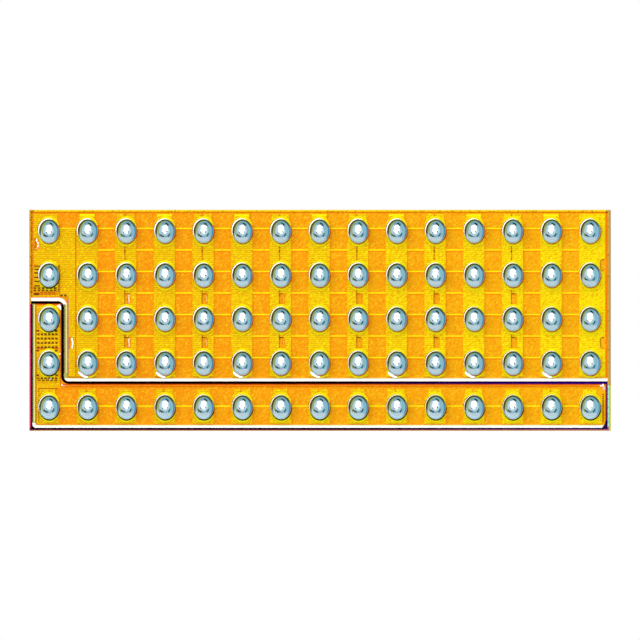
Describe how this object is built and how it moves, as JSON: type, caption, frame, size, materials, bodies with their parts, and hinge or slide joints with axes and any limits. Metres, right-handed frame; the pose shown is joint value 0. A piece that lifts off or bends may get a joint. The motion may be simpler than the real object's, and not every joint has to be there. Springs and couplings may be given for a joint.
{
  "type": "mosfet die",
  "caption": "bumped half-bridge power transistor die: thick silicon, an L-shaped island behind a trench, parallel bus bars on amber dielectric and a grid of oval solder bumps",
  "frame": {"origin": "centre of the ground back face, on the plane that faces away from the board", "axes": "+X along the die to the end without gate bumps, +Y across it away from the input row, +Z out of the bump side"},
  "size_m": [0.006, 0.0022, 0.0008],
  "materials": {
    "silicon": null,
    "amber_dielectric": "amber film with fine speckle",
    "gate_metal": "bright thin film",
    "bus_metal": "thin film over very fine crosswise fingers",
    "pad_metal": "smooth thin film",
    "pale_metal": "bright smooth film",
    "edge_metal": "thin film",
    "plated_pad": "thin nickel plating",
    "solder": "smooth reflowed lead-free solder"
  },
  "bodies": {
    "root": {"silicon_substrate": "silicon", "low_side_mesa": "silicon", "island_mesa": "silicon", "low_side_dielectric": "amber_dielectric", "island_dielectric": "amber_dielectric", "low_side_gate_lines": "gate_metal", "island_gate_line": "gate_metal", "ground_end_plate": "bus_metal", "switch_bar_01": "bus_metal", "switch_bar_03": "bus_metal", "switch_bar_05": "bus_metal", "switch_bar_07": "bus_metal", "switch_bar_09": "bus_metal", "switch_bar_11": "bus_metal", "switch_bar_13": "bus_metal", "ground_bar_02": "bus_metal", "ground_bar_04": "bus_metal", "ground_bar_06": "bus_metal", "ground_bar_08": "bus_metal", "ground_bar_10": "bus_metal", "ground_bar_12": "bus_metal", "ground_end_bar": "bus_metal", "input_bar_00": "bus_metal", "input_bar_02": "bus_metal", "input_bar_04": "bus_metal", "input_bar_06": "bus_metal", "input_bar_08": "bus_metal", "input_bar_10": "bus_metal", "input_bar_12": "bus_metal", "input_bar_14": "bus_metal", "output_bar_01": "bus_metal", "output_bar_03": "bus_metal", "output_bar_05": "bus_metal", "output_bar_07": "bus_metal", "output_bar_09": "bus_metal", "output_bar_11": "bus_metal", "output_bar_13": "bus_metal", "low_side_gate_pad": "pad_metal", "high_side_gate_pad": "pad_metal", "gate_return_pad": "pad_metal", "low_side_guard_strip": "pale_metal", "island_guard_strip": "pale_metal", "seal_ring": "edge_metal", "island_edge_line": "edge_metal", "low_side_bump_pads": "plated_pad", "island_bump_pads": "plated_pad", "switch_bumps_row_1": "solder", "switch_bumps_row_2": "solder", "switch_bumps_row_3": "solder", "switch_bumps_row_4": "solder", "switch_bumps_row_5": "solder", "ground_bumps_row_1": "solder", "ground_bumps_row_2": "solder", "ground_bumps_row_3": "solder", "ground_bumps_row_4": "solder", "input_bumps_row_5": "solder", "low_side_gate_bump": "solder", "high_side_gate_bump": "solder", "gate_return_bump": "solder"}
  },
  "joints": []
}
